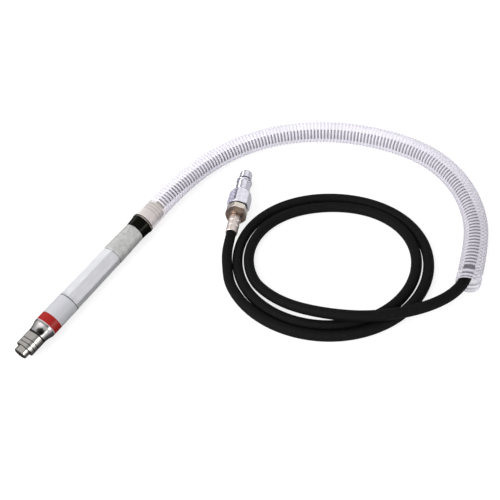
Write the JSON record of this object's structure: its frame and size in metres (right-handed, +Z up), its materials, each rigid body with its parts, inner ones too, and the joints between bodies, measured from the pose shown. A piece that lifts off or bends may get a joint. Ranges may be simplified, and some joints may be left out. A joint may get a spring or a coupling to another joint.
{
  "type": "pneumatic pencil grinder",
  "caption": "Slim air-driven pencil grinder with collet, hexagonal barrel and twist throttle, ribbed exhaust hose and coiled air hose with quick-connect plug.",
  "frame": {"origin": "on the floor, under the middle of the handpiece, midway between the front of the collet nut and the rear of the hose fitting inside the cuff", "axes": "+X along the handpiece towards the collet, +Z up from the floor that the handpiece and hoses lie on"},
  "size_m": [0.3333, 0.2725, 0.0203],
  "materials": {
    "nickelled_steel": "satin, nickelled",
    "bearing_steel": "ground",
    "motor_steel": "turned",
    "anodised_aluminium": "satin",
    "blasted_aluminium": "rough, worn",
    "black_gloss": "gloss black",
    "bright_metal": "fine turned",
    "dark_rubber": "matte",
    "felt": "felt",
    "vane_composite": "matte",
    "brass_inside": "turned",
    "milky_hose": "milky, half clear",
    "braided_hose": "fine black braid",
    "warm_nickel": "satin, crimped",
    "dark_bronze": "darkened",
    "bright_nickel": "bright nickel",
    "chrome": "chromed"
  },
  "bodies": {
    "housing": {"nose_cone": "nickelled_steel", "nose_seal": "felt", "barrel": "anodised_aluminium", "bearing_spacer": "motor_steel", "front_plate": "motor_steel", "cylinder_liner": "bearing_steel", "rear_plate": "motor_steel", "liner_pin": "bearing_steel", "front_bearing_outer": "bearing_steel", "rear_bearing_outer": "bearing_steel", "valve_body": "anodised_aluminium", "valve_o_rings": "dark_rubber", "stop_pin": "bearing_steel", "rear_collar": "black_gloss", "exhaust_spigot": "bright_metal", "cuff_ring": "dark_rubber", "inlet_nipple": "brass_inside", "inlet_ferrule": "warm_nickel", "exhaust_hose": "milky_hose", "air_hose_run": "braided_hose", "air_hose_coil": "braided_hose", "hose_ferrule": "warm_nickel", "hose_stem": "dark_bronze", "hose_nut": "bright_nickel", "plug_washer": "dark_rubber", "coupler_plug": "chrome"},
    "spindle_unit": {"spindle": "nickelled_steel", "rotor": "motor_steel", "vanes": "vane_composite", "front_bearing_inner": "bearing_steel", "rear_bearing_inner": "bearing_steel", "rotor_clip": "bearing_steel"},
    "front_cage": {"front_bearing_balls": "bearing_steel", "front_bearing_cage": "brass_inside"},
    "rear_cage": {"rear_bearing_balls": "bearing_steel", "rear_bearing_cage": "brass_inside"},
    "collet": {"collet": "bearing_steel"},
    "nut": {"collet_nut": "nickelled_steel"},
    "throttle": {"throttle_ring": "blasted_aluminium"}
  },
  "joints": [
    {"name": "spindle_spin", "type": "hinge", "parent": "housing", "child": "spindle_unit", "pos_m": [0, 0, 0.00975], "axis": [1, 0, 0], "continuous": true},
    {"name": "front_cage_spin", "type": "hinge", "parent": "housing", "child": "front_cage", "pos_m": [0, 0, 0.00975], "axis": [1, 0, 0], "continuous": true},
    {"name": "rear_cage_spin", "type": "hinge", "parent": "housing", "child": "rear_cage", "pos_m": [0, 0, 0.00975], "axis": [1, 0, 0], "continuous": true},
    {"name": "collet_slide", "type": "slide", "parent": "spindle_unit", "child": "collet", "axis": [1, 0, 0], "range_m": [0, 0.00075]},
    {"name": "nut_turn", "type": "hinge", "parent": "collet", "child": "nut", "pos_m": [0, 0, 0.00975], "axis": [1, 0, 0], "range_deg": [0, 360]},
    {"name": "throttle_turn", "type": "hinge", "parent": "housing", "child": "throttle", "pos_m": [0, 0, 0.00975], "axis": [-1, 0, 0], "range_deg": [0, 60]}
  ],
  "couplings": [
    {"joint": "front_cage_spin", "follows": "spindle_spin", "ratio": 0.382},
    {"joint": "rear_cage_spin", "follows": "spindle_spin", "ratio": 0.3919},
    {"joint": "nut_turn", "follows": "collet_slide", "rad_per_m": 8377.5}
  ]
}
